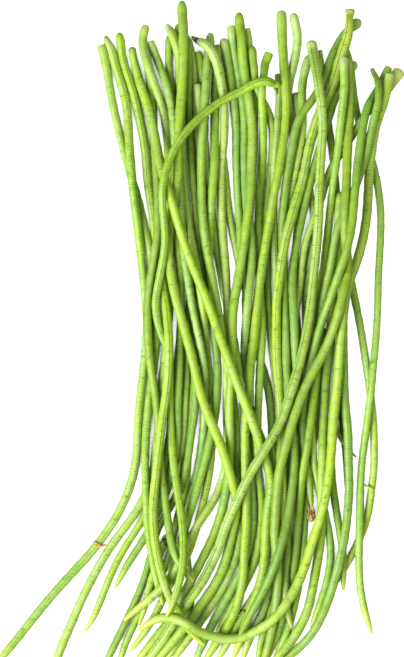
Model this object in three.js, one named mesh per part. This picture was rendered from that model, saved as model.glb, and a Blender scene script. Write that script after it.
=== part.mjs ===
// A loose bunch of yardlong beans lying flat, stem ends together at +Y and tips fanned out towards -Y.
// Millimetres, +Z up. Every pod is one closed tube that follows its own route over the ground;
// the heights come from settling the pods on the ground and on each other.
import * as THREE from 'three';

const gap = 0.75;              // clear air kept between neighbouring pods
const sides = 6;               // facets round a pod
const longestStep = 28;        // ring spacing where a pod runs straight
const shortestStep = 13;       // ring spacing where it bends hard
const chordError = 0.55;       // sideways error allowed between rings
const capLength = 3.0;         // rounding of the cut stem end
const neckLength = 12;         // slightly narrower neck behind the stem end
const tipLength = 34;          // taper before the pointed tip
const feelStep = 2.6;          // spacing of the points that feel neighbouring pods
const cell = 11;               // bin size for finding neighbours
const storeyHeight = 6.5;      // height of one storey before settling
const weight = 0.12;           // drop per round
const stiffness = 0.12;        // how strongly a pod straightens in height
const homing = 0.06;           // how strongly a pod keeps to its route in plan
const settleRounds = 700;      // rounds of dropping and pushing apart
const pressRounds = 240;       // last rounds, pushing apart only

const beans = [];
function bean(radius, stops) {
  beans.push({ number: beans.length, radius, stops });
}

// Left side of the bunch. Each stop is [x, y] or [x, y, storey]; the storey says which bean rides on which.
bean(3.4, [[-117, 242, 3], [-112, 213], [-104, 174], [-92.5, 130], [-84, 99], [-77, 68, 3], [-75.2, 30, 3], [-74.5, -10, 3], [-79.5, -48, 4], [-81.7, -82, 6], [-81.3, -120, 6], [-79.6, -158, 6], [-76.5, -186, 5], [-71, -212, 4], [-65.5, -234, 4]]);
bean(3.6, [[-114, 249, 4], [-105.5, 230], [-97.3, 200], [-93.6, 150], [-87.8, 95], [-81, 44], [-77, 10], [-79.8, -32], [-85.5, -82], [-88.5, -112], [-97, -140], [-112.5, -169], [-132, -194], [-160, -224], [-190, -262], [-213, -291]]);
bean(3.7, [[-103, 253, 4], [-97.5, 226], [-87.5, 190], [-81.8, 160], [-76.5, 112, 4], [-71, 69, 3], [-66.5, 38, 3], [-63, 12, 8], [-61.3, -20, 9], [-65.3, -66, 9], [-70.6, -110, 9], [-74.2, -146, 9], [-73.6, -172, 9], [-69.8, -196, 9], [-62, -223, 8], [-51.5, -244, 7.6], [-39.5, -259.5, 7.8], [-30, -268.5, 8]]);
bean(3.9, [[-93.2, 240, 5], [-93, 233], [-91, 224], [-84.5, 206], [-75.5, 176], [-69, 142, 6], [-59.5, 111, 7], [-46.5, 70], [-30, 30], [-15, -10], [0, -50], [15, -88, 7], [23, -112, 6], [27, -133, 5], [23.5, -152, 5], [21.8, -176, 4], [19.8, -199, 4], [14.5, -222, 4], [7, -242, 3], [1, -260, 2], [-6, -280, 2]]);
bean(3.7, [[-81.2, 259, 3], [-83, 253.2], [-83.2, 246], [-81.4, 236], [-78.2, 226], [-71, 206], [-63, 177, 3], [-60, 145, 2], [-59.5, 100], [-61, 50], [-62, 8], [-65.6, -36], [-69.3, -80], [-73, -117, 2], [-80, -143, 3], [-93, -162, 4], [-112, -187, 4], [-129.5, -217], [-144, -249], [-157, -280], [-163, -299]]);
bean(3.4, [[-80, 236, 2], [-76, 202, 2], [-74, 168, 3], [-71.5, 128, 5], [-70, 94, 6], [-73.5, 58, 6], [-78, 18, 6], [-76.5, -24, 6], [-71.5, -60, 6], [-69.3, -92, 6], [-67.2, -118, 6], [-62.5, -153, 6], [-57.5, -177, 6], [-52, -193, 6], [-45.5, -204, 6], [-38.3, -213, 6]]);
bean(3.3, [[-76, 245, 4], [-69.5, 230], [-61, 205], [-56, 170], [-52.5, 115, 4], [-49, 70, 5], [-42.5, 30, 5], [-35, -8, 5], [-29.8, -42, 4], [-30.6, -72, 4], [-33.6, -104, 4], [-41, -136, 3], [-46.3, -162, 2], [-45.5, -190, 2], [-42, -214, 2], [-43, -238, 2], [-50, -258, 2], [-60, -275, 2], [-66, -285, 2]]);
bean(3.1, [[-61, 251, 3], [-61, 230], [-57, 190], [-54.6, 145, 3], [-52.8, 88], [-50.2, 36], [-51.3, -10], [-53, -60], [-54, -98, 3], [-58.8, -122, 3], [-64.5, -141, 2.5], [-74, -161, 2.5], [-85, -181, 2.5], [-96, -199], [-107, -219, 2.5]]);
bean(3.3, [[-61, 260.5, 5], [-55.3, 253.6, 5], [-50.8, 246.5], [-48.8, 236], [-49.5, 212, 4], [-49, 165, 4], [-45, 108], [-38, 64], [-30.5, 12], [-26, -38], [-24.3, -85, 3], [-27, -122], [-34, -154, 2.5], [-44, -180, 2.5], [-54, -202, 2.5], [-65, -222, 2.5], [-73, -241], [-84, -259], [-95.5, -274, 3]]);
bean(4.0, [[-50, 280, 6], [-49.6, 240], [-52, 188], [-56.5, 135, 6], [-62, 102, 5.5], [-62.3, 62, 6], [-53, 20, 8], [-42, -20, 8], [-33, -55, 8], [-20, -88, 8], [-8.5, -120, 8], [-2.7, -146, 7], [-7, -173, 6], [-11, -193, 6], [-19, -212, 6], [-32, -231, 5], [-48, -252, 4], [-64, -270, 4], [-80, -290, 4]]);
bean(3.1, [[-44, 247, 3], [-44, 205], [-42.3, 145], [-38.5, 95], [-34.2, 55, 2], [-37.5, 12, 2], [-39.3, -28, 3], [-38.4, -62, 4], [-43, -98, 4], [-48.5, -126, 3], [-58, -147, 2], [-68.5, -165, 2], [-77, -192, 3], [-84, -217, 3], [-92, -236, 3], [-102, -257, 3], [-114, -281, 3], [-121, -296, 3]]);
bean(3.0, [[-44, 251, 2], [-39, 228], [-34.8, 198], [-35, 150, 1.5], [-36.5, 95], [-40, 48], [-45, 8], [-45.5, -38, 2], [-48, -76], [-51.8, -108, 2], [-56, -131, 1.5]]);
bean(3.0, [[-36.5, 236, 2], [-33.4, 212], [-33, 160, 1.2], [-32, 88], [-33, 30], [-39.5, -30, 2], [-43.3, -76, 3], [-46.7, -108, 2.5], [-49, -139, 2], [-56.5, -164, 1.5], [-63, -187, 1.5], [-72, -207, 2], [-80, -226, 2], [-90, -249, 2.5], [-99, -270, 2.5], [-106, -292, 2.5]]);
bean(3.6, [[-26, 252.8, 5], [-28.8, 226], [-31.5, 186, 5], [-33.6, 142], [-31.5, 95], [-24, 50, 5], [-15.8, 10, 4], [-8, -30, 3], [-3, -72, 4], [-2.6, -112, 4], [-0.9, -146, 4], [-1.2, -178, 4], [-6.5, -199, 4], [-16.5, -219, 4], [-29, -240, 4], [-43, -261, 3.5], [-60, -285, 3.5]]);
bean(3.2, [[-35.7, 208, 3], [-31, 177], [-26.2, 134], [-21.8, 82, 3], [-15.2, 36], [-9, -6, 2.5], [1.5, -40, 2.5], [15, -76, 3], [25, -106, 3], [28, -128, 3], [26, -155, 3], [24, -182, 3], [19.3, -208, 3], [10.5, -231, 2.5], [1, -247, 2], [-9, -264, 2], [-22, -286, 2]]);
bean(3.5, [[-39.3, 250.4, 7], [-26.5, 242], [-18, 222, 7], [-13.5, 186, 6], [-16, 132, 6], [-15, 85, 6], [-11.6, 40, 5], [-10.8, 0, 3], [-10.8, -50, 3], [-10.3, -98, 4], [-14.5, -130, 6], [-26.5, -151, 6], [-40, -172, 6], [-50.5, -193, 5.5], [-61, -211, 6], [-74, -224.5, 7], [-88, -236.5, 7.5], [-99.8, -247.3, 7.5]]);
bean(3.5, [[-17, 243, 4], [-20.5, 210], [-22.3, 160], [-25.5, 112, 3.5], [-27.5, 65, 3], [-24, 5, 4], [-20.3, -30, 5], [-22, -70, 5], [-27.6, -100, 5], [-35.5, -130, 5], [-43.2, -156, 4], [-50.5, -180, 3.5], [-56.5, -199, 3.5], [-60, -219.5, 4]]);
bean(3.4, [[-13, 248, 5], [-7.5, 224], [-2.6, 190, 4], [-2.3, 140, 4], [-0.5, 98, 3], [3.5, 46, 3], [10, 4, 2], [20.5, -30, 2], [27, -60, 3], [29.4, -100, 2], [31.5, -132, 2], [34, -160, 2], [30.5, -198, 2], [25, -221, 2.5], [18, -243, 2], [9, -262, 2], [0, -285, 2]]);
bean(3.5, [[-7.5, 258, 4], [-3.5, 226, 3], [2, 180, 2.5], [4.3, 122, 2.5], [10.4, 72, 3], [8.5, 32, 3], [2.8, -12, 3], [2.6, -52, 2], [5.6, -100, 2], [9.8, -140, 2], [10, -168, 2], [4, -193, 2], [-7, -217, 3], [-18, -238.5, 3], [-29, -260, 2.5], [-41, -289, 2.5]]);
bean(3.75, [[-1, 270, 7], [1.5, 244, 7], [8.5, 206, 6], [10.4, 166, 6], [8.2, 116, 6], [2, 70, 6], [-6.3, 22, 6], [-9.3, -30, 5.5], [-9.9, -78, 5], [-9.5, -108, 5], [-13.2, -141, 5], [-20, -169, 5], [-31.5, -194, 5], [-43.5, -220, 4], [-57, -245, 3.5], [-72, -263, 4], [-91, -285, 4]]);
// Middle and right side of the bunch.
bean(3.1, [[-54.8, 260, 2], [-54.5, 236, 1], [-56, 180, 1], [-55.5, 120], [-52.5, 70], [-51, 20], [-52.5, -20], [-57.5, -60, 2], [-63, -96, 2], [-69, -121, 1.5], [-79, -145, 2], [-91, -168, 3], [-103.5, -191, 3], [-115.5, -219, 3], [-125, -243.5, 3], [-133, -257, 3]]);
bean(3.0, [[5, 256, 2], [9, 234, 1], [12, 200, 1.5], [9.5, 140, 1.5], [4.5, 70, 1.5], [4.3, 30, 1.5], [8, -15, 1.5], [8.8, -60, 1.5], [7.5, -100, 1.5], [8.3, -132, 1.5], [8.3, -160, 1.2]]);
bean(3.0, [[10.3, 241, 4], [13.6, 221, 2.5], [21.5, 202, 2], [30, 173, 2], [27.5, 142, 2], [23.5, 112, 1.5], [22.6, 66, 2], [24.5, 20, 3], [27.5, -18, 3], [32, -48, 2], [32.8, -90, 1], [32.6, -140, 1], [30.5, -190, 1], [27, -232, 1.5], [19, -260, 1.5], [14.5, -292, 1.5]]);
bean(3.4, [[23.5, 235.5, 4], [18.5, 222], [16.4, 204], [19, 182, 4], [18.9, 128], [16.6, 80, 3.5], [16.6, 45, 3], [17.5, 10, 4], [16, -32, 4], [13.6, -74, 3.5], [13.6, -106, 4], [16.1, -136, 4], [16, -163, 4], [12.5, -190, 3], [3.5, -216, 2.5], [-8, -238.5, 3], [-20, -258, 2]]);
bean(3.3, [[30.5, 210.5, 8], [20, 212.5], [4, 206], [-16, 195.5, 8.5], [-36, 180], [-52, 161], [-62, 140, 8.5], [-65.7, 114], [-63.8, 80, 8], [-67, 54, 8], [-72, 26, 7], [-68.5, 4, 6], [-60.5, -17, 6], [-59.4, -60, 6], [-58.2, -98, 7], [-54.8, -125, 8], [-51.2, -150, 8], [-48.6, -180, 8], [-50.4, -206, 9], [-55.6, -224.5, 10], [-63, -242.5, 10.5]]);
bean(3.75, [[35.2, 271, 6], [36.6, 244], [39, 204], [38.2, 172], [33.7, 139], [26, 103], [19.5, 68], [13, 32], [9.5, -5], [6.4, -48, 6], [4, -84, 5], [3.7, -115, 5], [4.7, -150, 5], [3.8, -186, 5], [1, -218, 4.5], [-7.5, -244, 4.5], [-20, -265, 4], [-33, -286, 4]]);
bean(3.2, [[46, 269, 4], [49.2, 250], [45.7, 228], [42.3, 207, 3], [44.2, 180, 2], [47.5, 152, 1.5], [50, 112, 1.5], [46.2, 58, 1.5], [46.2, 12, 1.5], [48.6, -40, 1.5], [50.3, -88, 2], [49, -128, 2], [44, -160, 2], [41.5, -192, 1.5]]);
bean(3.3, [[33, 217, 3], [33.6, 196], [31, 160, 3], [29, 118], [28.8, 88], [31, 52, 2], [32.3, 10, 1.5], [32.5, -40, 1.5], [34, -72, 1]]);
bean(3.1, [[58, 233.5, 5], [54.3, 218], [52, 196], [52.8, 172, 4], [47.8, 144, 4], [41.6, 110, 3], [37.5, 75, 2], [34.5, 40, 1], [34, 10, 1]]);
bean(3.0, [[46.5, 201, 2], [50.5, 185, 1.5], [54.5, 155, 1], [59.5, 122, 2], [63.6, 96, 2], [60, 64, 3], [56.5, 38, 3], [55.5, 4, 2], [51.5, -30, 1.5]]);
bean(3.9, [[61, 246, 8], [64, 229], [67.9, 206, 8], [70.2, 172], [67.7, 130], [66.2, 92], [62.2, 46], [57.5, 8, 8.5], [49, -30, 9], [37, -68, 9], [24, -94, 9], [8, -121, 9], [-5, -148, 9], [-14.5, -171, 8], [-21.5, -192, 6], [-34.5, -214, 4.5], [-51, -238, 4], [-67, -265, 4], [-85, -291, 4]]);
bean(3.2, [[69, 238, 3], [71.5, 216, 2], [76, 181, 2], [80.5, 142, 2], [84.5, 104, 2], [88.8, 66, 2], [95, 36, 3], [103, 0, 4], [108.5, -34, 3.5], [113.3, -70, 3], [114.6, -100, 4], [112.6, -130, 4], [107.5, -160, 3], [98.5, -181, 2.5], [88.5, -200, 2.5], [81, -216, 2.5]]);
bean(3.5, [[100.8, 265, 5], [90.3, 256.5], [79, 237.5, 6], [72.5, 219], [62.5, 200.5], [49.5, 180.5], [42.4, 153], [38.4, 123, 5], [35.6, 85, 4], [37.5, 42, 4], [39, 0, 4], [41.2, -42, 4], [45, -86, 5], [46.2, -114, 6], [43, -140, 6], [38.2, -168, 5], [29, -197.5, 6.5], [19, -223, 8], [8.3, -242, 9], [-0.5, -259, 11]]);
bean(3.95, [[93.7, 272.6, 7], [91.8, 255], [84, 231, 7], [74.8, 205.5, 7], [64.5, 180, 7], [57.5, 153.5], [50.5, 122], [42.5, 94], [35, 58], [32, 25, 6], [32, -10, 6], [33.6, -48, 5], [34.8, -80, 4], [34, -108, 3], [35, -140, 2], [35, -166, 1.5]]);
bean(3.4, [[97.2, 228.5, 3], [88.5, 214], [79.5, 197], [73, 175.5], [64, 145], [56, 115], [51, 89, 4], [45.4, 56, 5], [45.2, 15, 5], [47.3, -22, 4], [45.5, -60, 3], [41, -96, 3], [38.3, -126, 3.5], [37.8, -158, 3], [40.3, -186, 2.5], [37.2, -216, 3], [40.3, -239, 3], [44.8, -254, 5]]);
bean(3.2, [[88.2, 229.3, 10], [89.2, 208, 7.5], [86, 174, 5.5], [82.2, 143], [77.6, 102], [72, 58], [65.5, 18, 4], [59, -16, 3], [57, -48, 1.5], [61, -86, 2], [66, -122, 2], [72, -152, 3], [77.3, -182, 4], [75.8, -207, 4.5], [69.3, -231.5, 5], [60.8, -254.5, 6]]);
bean(3.8, [[90.6, 229, 5], [91.6, 204, 5], [90, 165, 5], [89.7, 115], [88.8, 78, 5], [88.3, 47, 6], [81.5, 11, 6.5], [69, -20.5, 6.5], [54, -50.5, 6], [43.5, -81, 6], [35.6, -109.5, 6], [31.4, -140, 6], [31, -172, 6], [33, -208, 6], [31.2, -240, 5], [25.5, -266, 4], [17.5, -290, 4]]);
bean(3.1, [[90, 242, 4], [94, 219, 3], [99, 190.5, 2], [109, 161, 2], [117.3, 127, 4], [120.3, 96, 4], [118.8, 58], [116.8, 8], [112.5, -42, 5], [107, -88, 5], [103.3, -124, 5], [102, -165, 5], [101.5, -199, 5], [104.5, -230, 5], [112.2, -258.5, 5]]);
bean(3.2, [[136, 222.5, 4], [123.5, 203.5, 3], [104.5, 183.5, 3], [92.5, 162], [77, 138.5, 3], [68, 109.5, 3], [57, 80, 3], [51.5, 48, 3], [46.2, 8, 2.5], [43.2, -36, 1.5], [43.2, -76, 1.5], [38.5, -106, 1]]);
bean(3.4, [[126.5, 224, 5], [119.3, 208, 4], [110, 188.5, 4], [103.3, 163, 5], [98.3, 130, 6], [95.7, 100, 7], [90.5, 70, 7], [79, 35, 7], [68.5, 4, 7], [60, -26, 5.5], [54.4, -54, 5], [53.5, -84, 3], [57.8, -118, 3], [61.2, -150, 4]]);
bean(3.3, [[113.5, 222.5, 7], [116.6, 214.5], [117.4, 202], [112.5, 177.5, 6], [105.5, 147, 5], [93, 113.5, 3], [82, 85.5, 4], [77, 54, 4], [68.5, 15, 3], [66, -24, 3], [61.7, -62, 5], [56.5, -101, 6], [51.4, -134, 5], [48.7, -165, 4], [46, -194, 3.5], [40.5, -220, 3], [34.8, -248, 3], [20.5, -284, 3]]);
bean(3.8, [[126.8, 217, 6], [122.5, 199.5], [115.2, 174.5], [110.3, 142], [107.6, 100, 6], [100.5, 65.5, 6], [89.8, 38, 5], [85.4, 8, 5.5], [84, -22, 7], [80.3, -62, 7], [77, -102, 7], [73.8, -133, 8], [66, -163, 8.5], [56, -196, 9], [45.5, -220.5, 9], [31, -241.5, 9], [11, -255.5, 9], [-12, -261.3, 9], [-36, -253.8, 9], [-55, -241.5, 9], [-70.5, -243.3, 8.6], [-87, -254.5, 8.5]]);
bean(3.8, [[83.8, 116.5, 3.5], [84.3, 88, 3.5], [81.2, 52, 2.5], [78.3, 20, 4], [76.6, -8, 4], [72.8, -43, 5], [70.2, -88, 6], [68.9, -132, 6], [69.5, -162, 6], [66.2, -192, 6], [61.2, -221, 5], [52, -246.5, 5], [42.5, -263.5, 5], [31, -277, 5], [21, -289, 5]]);
bean(3.6, [[93, 118, 2.5], [91, 80, 2.5], [88.2, 36, 2.5], [86.6, -4, 3], [88.5, -50, 4], [91.4, -86, 5], [92.7, -130, 6], [90.3, -166, 6], [85, -194, 6], [76.6, -225, 6], [65.8, -250, 6], [52, -268.5, 6], [38, -281, 6], [29, -288, 6]]);
// Short or half-hidden beans that fill the depth of the bunch.
bean(3.1, [[88, 52, 1], [85.3, 0, 1.5], [82, -45, 2], [79, -90, 2], [79.4, -127, 2.5], [83.5, -160, 3], [87.2, -186, 3], [88, -221, 2.5]]);
bean(3.0, [[87, 30, 1], [84.8, -20, 1.5], [84.6, -58, 2.5], [88, -98, 2.5], [91.6, -128, 2], [92.3, -156, 1.5]]);
bean(3.0, [[72.5, 0, 1], [68.3, -36, 1.5], [65.5, -72, 2.5], [60.5, -108, 1.5], [56, -150, 2], [54, -172, 3], [50.7, -200, 3], [46.7, -232, 3.5], [40, -258, 3], [29, -283, 3]]);
bean(1.9, [[84.5, -38, 1], [80.5, -70, 1], [82.5, -87.5, 3], [89, -97, 3], [99, -107.5, 4]]);
bean(3.0, [[-63.4, -176.4, 5], [-67, -190, 3], [-73.5, -210, 3], [-79.5, -230, 3], [-86.5, -251.5, 4]]);
bean(3.1, [[-15.3, 153, 2], [-13.2, 131.8, 2.5], [-11, 110.5, 2.5], [-7.6, 91.8, 2], [-3.8, 74, 1.5], [-1.2, 58, 1], [0.5, 44, 1]]);

// Radius along a pod: blunt end, short neck, even body, long taper to the tip.
function radiusAt(b, s) {
  const fromTip = b.length - s;
  const start = Math.min(1, 0.72 + 0.28 * Math.min(1, s / capLength) * 0.55 + 0.126 * Math.min(1, s / neckLength));
  const t = Math.min(1, Math.max(0, fromTip / tipLength));
  const end = 0.16 + 0.84 * Math.pow(t, 0.62);
  return b.radius * Math.min(start, end);
}

// Plan route as a smooth curve through the stops, then rings spaced by how hard it bends.
function layRings(b) {
  const points = b.stops.map((p) => new THREE.Vector3(p[0], p[1], 0));
  const curve = new THREE.CatmullRomCurve3(points, false, 'centripetal');
  const count = 400;
  curve.arcLengthDivisions = 1200;
  b.length = curve.getLength();
  const at = (s) => curve.getPointAt(Math.min(1, Math.max(0, s / b.length)));
  const bendAt = (s) => {
    const h = 9;
    const p = at(s - h), q = at(s), r = at(s + h);
    const a = Math.atan2(q.y - p.y, q.x - p.x), c = Math.atan2(r.y - q.y, r.x - q.x);
    let d = Math.abs(c - a);
    if (d > Math.PI) d = 2 * Math.PI - d;
    return Math.max(d / h, 1e-4);
  };
  const stations = [0, capLength, capLength + 4.5, neckLength + 2];
  const last = [b.length - 26, b.length - 10, b.length - 2.5];
  let s = stations[3];
  while (s < last[0] - 6) {
    let bend = 1e-4;
    for (let k = 0; k < 5; k++) bend = Math.max(bend, bendAt(s + k * 6));
    const step = Math.min(longestStep, Math.max(shortestStep, Math.sqrt(8 * chordError / bend)));
    s += step;
    if (s < last[0] - 9) stations.push(s);
  }
  stations.push(...last);
  b.stations = stations;
  b.rings = stations.map((t) => at(t));
  // storeys given at some stops, spread evenly by distance between them
  const marks = [];
  let run = 0;
  b.stops.forEach((p, i) => {
    if (i > 0) run += Math.hypot(p[0] - b.stops[i - 1][0], p[1] - b.stops[i - 1][1]);
    if (p.length > 2) marks.push([run, p[2]]);
  });
  const scale = b.length / run;
  b.storey = (t) => {
    let k = 0;
    while (k < marks.length && marks[k][0] * scale < t) k++;
    if (k === 0) return marks[0][1];
    if (k === marks.length) return marks[marks.length - 1][1];
    const a = marks[k - 1], c = marks[k];
    return a[1] + (c[1] - a[1]) * (t - a[0] * scale) / ((c[0] - a[0]) * scale);
  };
  // where each ring stands now: plan drift away from the route, and height
  b.driftX = stations.map(() => 0);
  b.driftY = stations.map(() => 0);
  b.z = stations.map((t) => b.radius + storeyHeight * b.storey(t));
  b.ringRadius = stations.map((t) => radiusAt(b, t));
  // points along the straight pieces between rings, used to feel the neighbours
  b.spots = [];
  for (let k = 0; k < stations.length - 1; k++) {
    const n = Math.max(1, Math.round((stations[k + 1] - stations[k]) / feelStep));
    for (let j = 0; j < n; j++) {
      const w = j / n;
      const r = b.ringRadius[k] * (1 - w) + b.ringRadius[k + 1] * w;
      b.spots.push({ bean: b, k, w, r, spread: 1 / ((1 - w) * (1 - w) + w * w), x: 0, y: 0, z: 0 });
    }
  }
  const end = stations.length - 1;
  b.spots.push({ bean: b, k: end - 1, w: 1, r: b.ringRadius[end] + 2, spread: 1, x: 0, y: 0, z: 0 });
}

beans.forEach(layRings);
const spots = beans.flatMap((b) => b.spots);

function placeSpot(p) {
  const b = p.bean, k = p.k, v = 1 - p.w, w = p.w;
  p.x = (b.rings[k].x + b.driftX[k]) * v + (b.rings[k + 1].x + b.driftX[k + 1]) * w;
  p.y = (b.rings[k].y + b.driftY[k]) * v + (b.rings[k + 1].y + b.driftY[k + 1]) * w;
  p.z = b.z[k] * v + b.z[k + 1] * w;
}

// Neighbouring spots of different pods that are near enough to touch soon.
function findNeighbours() {
  const bins = new Map();
  spots.forEach((p) => {
    placeSpot(p);
    p.cx = Math.floor(p.x / cell);
    p.cy = Math.floor(p.y / cell);
    const key = p.cx * 1000 + p.cy;
    if (!bins.has(key)) bins.set(key, []);
    bins.get(key).push(p);
  });
  const found = [];
  for (const p of spots) {
    for (let dx = -1; dx <= 1; dx++) for (let dy = -1; dy <= 1; dy++) {
      for (const q of bins.get((p.cx + dx) * 1000 + p.cy + dy) || []) {
        if (q.bean.number <= p.bean.number) continue;
        const reach = p.r + q.r + gap + 2;
        const ax = p.x - q.x, ay = p.y - q.y, az = p.z - q.z;
        if (ax * ax + ay * ay + az * az < reach * reach) found.push([p, q]);
      }
    }
  }
  return found;
}

// Move one spot by bending its pod: the rings either side share the move.
function nudge(p, dx, dy, dz) {
  const b = p.bean, k = p.k, v = (1 - p.w) * p.spread, w = p.w * p.spread;
  b.driftX[k] += dx * v;
  b.driftX[k + 1] += dx * w;
  b.driftY[k] += dy * v;
  b.driftY[k + 1] += dy * w;
  b.z[k] += dz * v;
  b.z[k + 1] += dz * w;
}

// Push two spots apart along the line between them; the upper one gives way upwards, the lower one barely sinks.
function pushApart(p, q, part) {
  placeSpot(p);
  placeSpot(q);
  const ax = p.x - q.x, ay = p.y - q.y, az = p.z - q.z;
  const d = Math.hypot(ax, ay, az) || 1e-6;
  const miss = p.r + q.r + gap - d;
  if (miss <= 0) return 0;
  const m = miss * part / d;
  const lift = az > 0 ? 0.8 : 0.2;
  const slide = 0.5 - 0.25 * Math.max(-1, Math.min(1, az / 3));
  nudge(p, ax * m * slide, ay * m * slide, az * m * lift);
  nudge(q, -ax * m * (1 - slide), -ay * m * (1 - slide), -az * m * (1 - lift));
  return miss;
}

// Even out a list of ring values along a pod, as its stiffness does.
function relax(b, values, amount) {
  const old = values.slice(), n = old.length - 1;
  for (let k = 1; k < n; k++) {
    const before = b.stations[k] - b.stations[k - 1], after = b.stations[k + 1] - b.stations[k];
    values[k] += ((old[k - 1] * after + old[k + 1] * before) / (before + after) - old[k]) * amount;
  }
  values[0] += (old[1] - old[0]) * amount;
  values[n] += (old[n - 1] - old[n]) * amount;
}

let neighbours = [];
let worst = 0;
for (let round = 0; round < settleRounds + pressRounds; round++) {
  const settling = round < settleRounds;
  if (round % 6 === 0) neighbours = findNeighbours();
  if (settling) {
    for (const b of beans) {
      relax(b, b.z, stiffness);
      relax(b, b.driftX, 0.3);
      relax(b, b.driftY, 0.3);
      for (let k = 0; k < b.z.length; k++) {
        b.z[k] -= weight;
        b.driftX[k] *= 1 - homing;
        b.driftY[k] *= 1 - homing;
      }
    }
  }
  worst = 0;
  for (const [p, q] of neighbours) worst = Math.max(worst, pushApart(p, q, settling ? 0.6 : 0.9));
  for (const b of beans) b.ringRadius.forEach((r, k) => { b.z[k] = Math.max(b.z[k], r); });
}

// One pod as a closed tube: rings square to the route, one corner pointing straight down.
function podGeometry(b) {
  const count = b.rings.length;
  const centres = b.rings.map((p, k) => new THREE.Vector3(p.x + b.driftX[k], p.y + b.driftY[k], b.z[k]));
  const position = [];
  const index = [];
  const up = new THREE.Vector3(0, 0, 1);
  for (let k = 0; k < count; k++) {
    const along = centres[Math.min(count - 1, k + 1)].clone().sub(centres[Math.max(0, k - 1)]).normalize();
    const side = up.clone().cross(along).normalize();
    const over = along.clone().cross(side);
    const r = b.ringRadius[k];
    for (let j = 0; j < sides; j++) {
      const turn = -Math.PI / 2 + (2 * Math.PI * j) / sides;
      const v = centres[k].clone().addScaledVector(side, r * Math.cos(turn)).addScaledVector(over, r * Math.sin(turn));
      position.push(v.x, v.y, v.z);
    }
  }
  const stem = position.length / 3;
  const stemCentre = centres[0];
  position.push(stemCentre.x, stemCentre.y, stemCentre.z);
  const tip = stem + 1;
  const tipPoint = centres[count - 1].clone().addScaledVector(centres[count - 1].clone().sub(centres[count - 2]).normalize(), 2.5);
  position.push(tipPoint.x, tipPoint.y, Math.max(tipPoint.z, 0.3));
  for (let k = 0; k < count - 1; k++) for (let j = 0; j < sides; j++) {
    const a = k * sides + j, b2 = k * sides + ((j + 1) % sides), c = a + sides, d = b2 + sides;
    index.push(a, b2, d, a, d, c);
  }
  for (let j = 0; j < sides; j++) {
    index.push(stem, (j + 1) % sides, j);
    const base = (count - 1) * sides;
    index.push(tip, base + j, base + ((j + 1) % sides));
  }
  const geometry = new THREE.BufferGeometry();
  geometry.setAttribute('position', new THREE.Float32BufferAttribute(position, 3));
  geometry.setIndex(index);
  geometry.computeVertexNormals();
  return geometry;
}

const podGreen = new THREE.Color(0.33, 0.52, 0.09);
const box = new THREE.Box3();
const geometries = beans.map(podGeometry);
geometries.forEach((g) => { g.computeBoundingBox(); box.union(g.boundingBox); });
const middle = box.getCenter(new THREE.Vector3());

const group = new THREE.Group();
group.name = 'yardlong_bean_bunch';
geometries.forEach((g, i) => {
  g.translate(-middle.x, -middle.y, -box.min.z);
  const tone = 0.86 + 0.28 * (((i * 7) % 11) / 10);
  const material = new THREE.MeshStandardMaterial({ color: podGreen.clone().multiplyScalar(tone), roughness: 0.5, metalness: 0 });
  const mesh = new THREE.Mesh(g, material);
  mesh.name = 'bean_' + String(i + 1).padStart(2, '0');
  group.add(mesh);
});

export default group;
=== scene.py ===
# A loose bunch of yardlong beans lying on white paper, seen from straight above.
# Metres, +Z up, +Y towards the stem ends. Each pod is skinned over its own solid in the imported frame.
import math
import bpy
import numpy as np
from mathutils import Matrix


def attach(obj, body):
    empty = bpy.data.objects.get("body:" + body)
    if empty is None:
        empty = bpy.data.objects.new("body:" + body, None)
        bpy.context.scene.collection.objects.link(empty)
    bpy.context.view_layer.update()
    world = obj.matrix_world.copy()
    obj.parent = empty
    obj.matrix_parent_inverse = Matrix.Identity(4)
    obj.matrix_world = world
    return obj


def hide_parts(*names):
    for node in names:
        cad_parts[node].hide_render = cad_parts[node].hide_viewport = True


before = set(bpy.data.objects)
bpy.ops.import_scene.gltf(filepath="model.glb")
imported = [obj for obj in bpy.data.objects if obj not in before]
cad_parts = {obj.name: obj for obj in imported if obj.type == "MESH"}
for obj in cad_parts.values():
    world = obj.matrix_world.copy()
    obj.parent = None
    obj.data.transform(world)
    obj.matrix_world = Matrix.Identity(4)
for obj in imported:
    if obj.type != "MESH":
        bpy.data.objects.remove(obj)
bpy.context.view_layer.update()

mm = 0.001
fullTurn = 2 * math.pi
up = np.array([0.0, 0.0, 1.0])


# shader nodes: a value handed to these is a socket, a number or a colour

def feed(tree, value, socket):
    # a socket is linked, and a number or a colour is set
    if isinstance(value, bpy.types.NodeSocket):
        tree.links.new(value, socket)
    elif isinstance(value, tuple):
        socket.default_value = (*value, 1.0)
    else:
        socket.default_value = value


def newMaterial(name):
    material = bpy.data.materials.new(name)
    material.use_nodes = True
    return material, material.node_tree, material.node_tree.nodes["Principled BSDF"]


def colourMix(tree, factor, a, b):
    # a where factor is 0, b where it is 1
    factorIn, aIn, bIn, colourOut = 0, 6, 7, 2  # where a Mix node keeps its colour sockets
    node = tree.nodes.new("ShaderNodeMix")
    node.data_type = "RGBA"
    for value, place in ((factor, factorIn), (a, aIn), (b, bIn)):
        feed(tree, value, node.inputs[place])
    return node.outputs[colourOut]


def numberMath(tree, kind, a, b=0.0, clamp=False):
    node = tree.nodes.new("ShaderNodeMath")
    node.operation, node.use_clamp = kind, clamp
    feed(tree, a, node.inputs[0])
    feed(tree, b, node.inputs[1])
    return node.outputs[0]


def remap(tree, value, limits, curve="SMOOTHSTEP"):
    # limits are from low, from high, to low and to high
    node = tree.nodes.new("ShaderNodeMapRange")
    node.interpolation_type = curve
    tree.links.new(value, node.inputs["Value"])
    for name, number in zip(("From Min", "From Max", "To Min", "To Max"), limits):
        node.inputs[name].default_value = number
    return node.outputs["Result"]


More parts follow.
